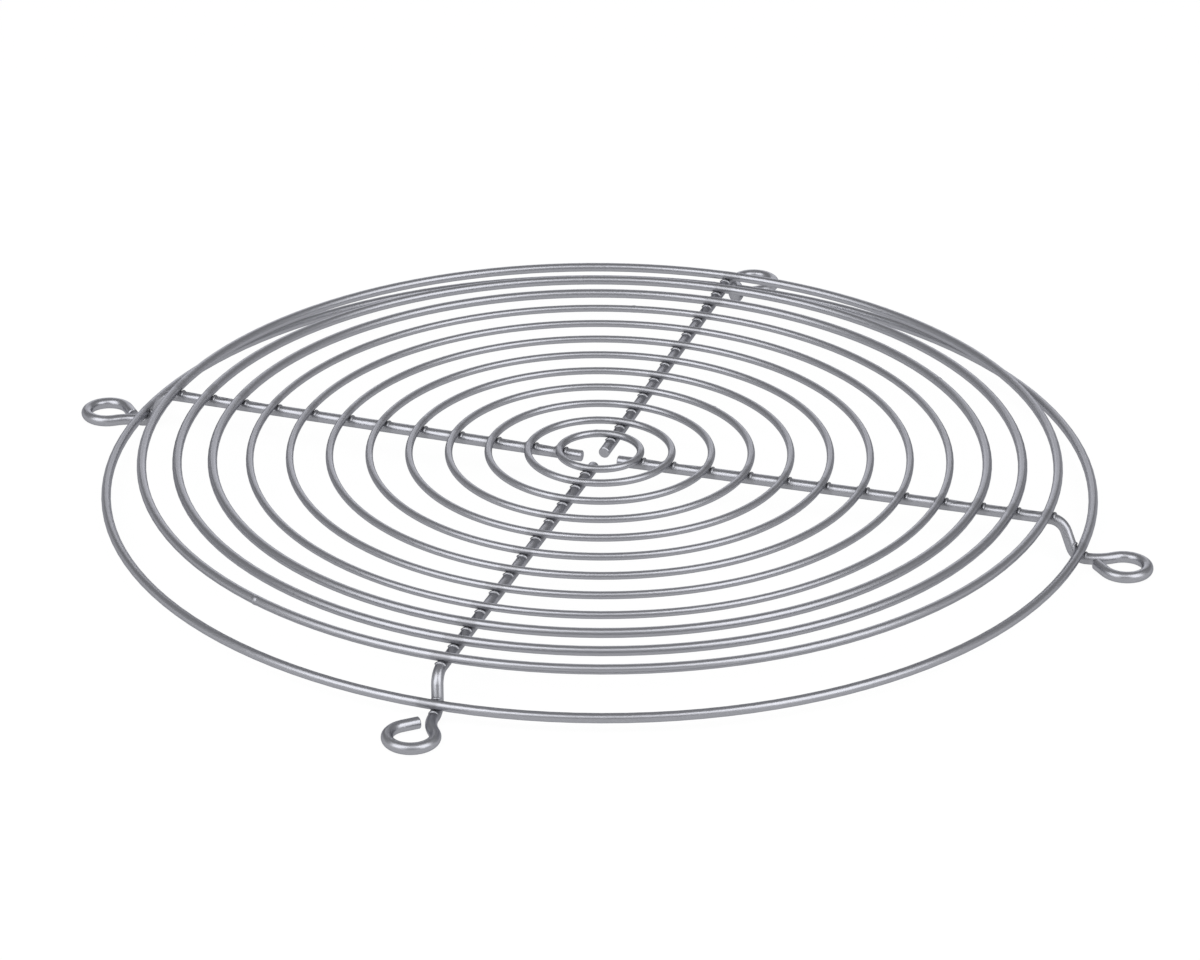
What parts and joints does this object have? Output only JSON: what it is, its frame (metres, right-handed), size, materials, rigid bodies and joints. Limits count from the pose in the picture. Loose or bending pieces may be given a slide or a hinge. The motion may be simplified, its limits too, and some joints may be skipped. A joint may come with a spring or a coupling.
{
  "type": "wire fan guard",
  "caption": "Round wire finger guard for a fan: concentric wire rings welded on radial wire arms that step down to open mounting eyes.",
  "frame": {"origin": "centre of the bolt circle, on the plane that the undersides of the four eyes stand on", "axes": "+Z runs from the mounting plane to the ring side, along the fan's shaft; +X runs through the eye of arm_right, and +Y through the eye of arm_back; arm_front is the arm nearest the viewer, on -Y"},
  "size_m": [0.2996, 0.2996, 0.0136],
  "materials": {
    "plated_wire": "satin silver plate, smooth, with small darker weld marks"
  },
  "bodies": {
    "root": {"hub_ring": "plated_wire", "light_ring_1": "plated_wire", "light_ring_2": "plated_wire", "light_ring_3": "plated_wire", "light_ring_4": "plated_wire", "light_ring_5": "plated_wire", "light_ring_6": "plated_wire", "light_ring_7": "plated_wire", "light_ring_8": "plated_wire", "heavy_ring_1": "plated_wire", "heavy_ring_2": "plated_wire", "heavy_ring_3": "plated_wire", "lower_ring": "plated_wire", "arm_right": "plated_wire", "arm_back": "plated_wire", "arm_left": "plated_wire", "arm_front": "plated_wire"}
  },
  "joints": []
}
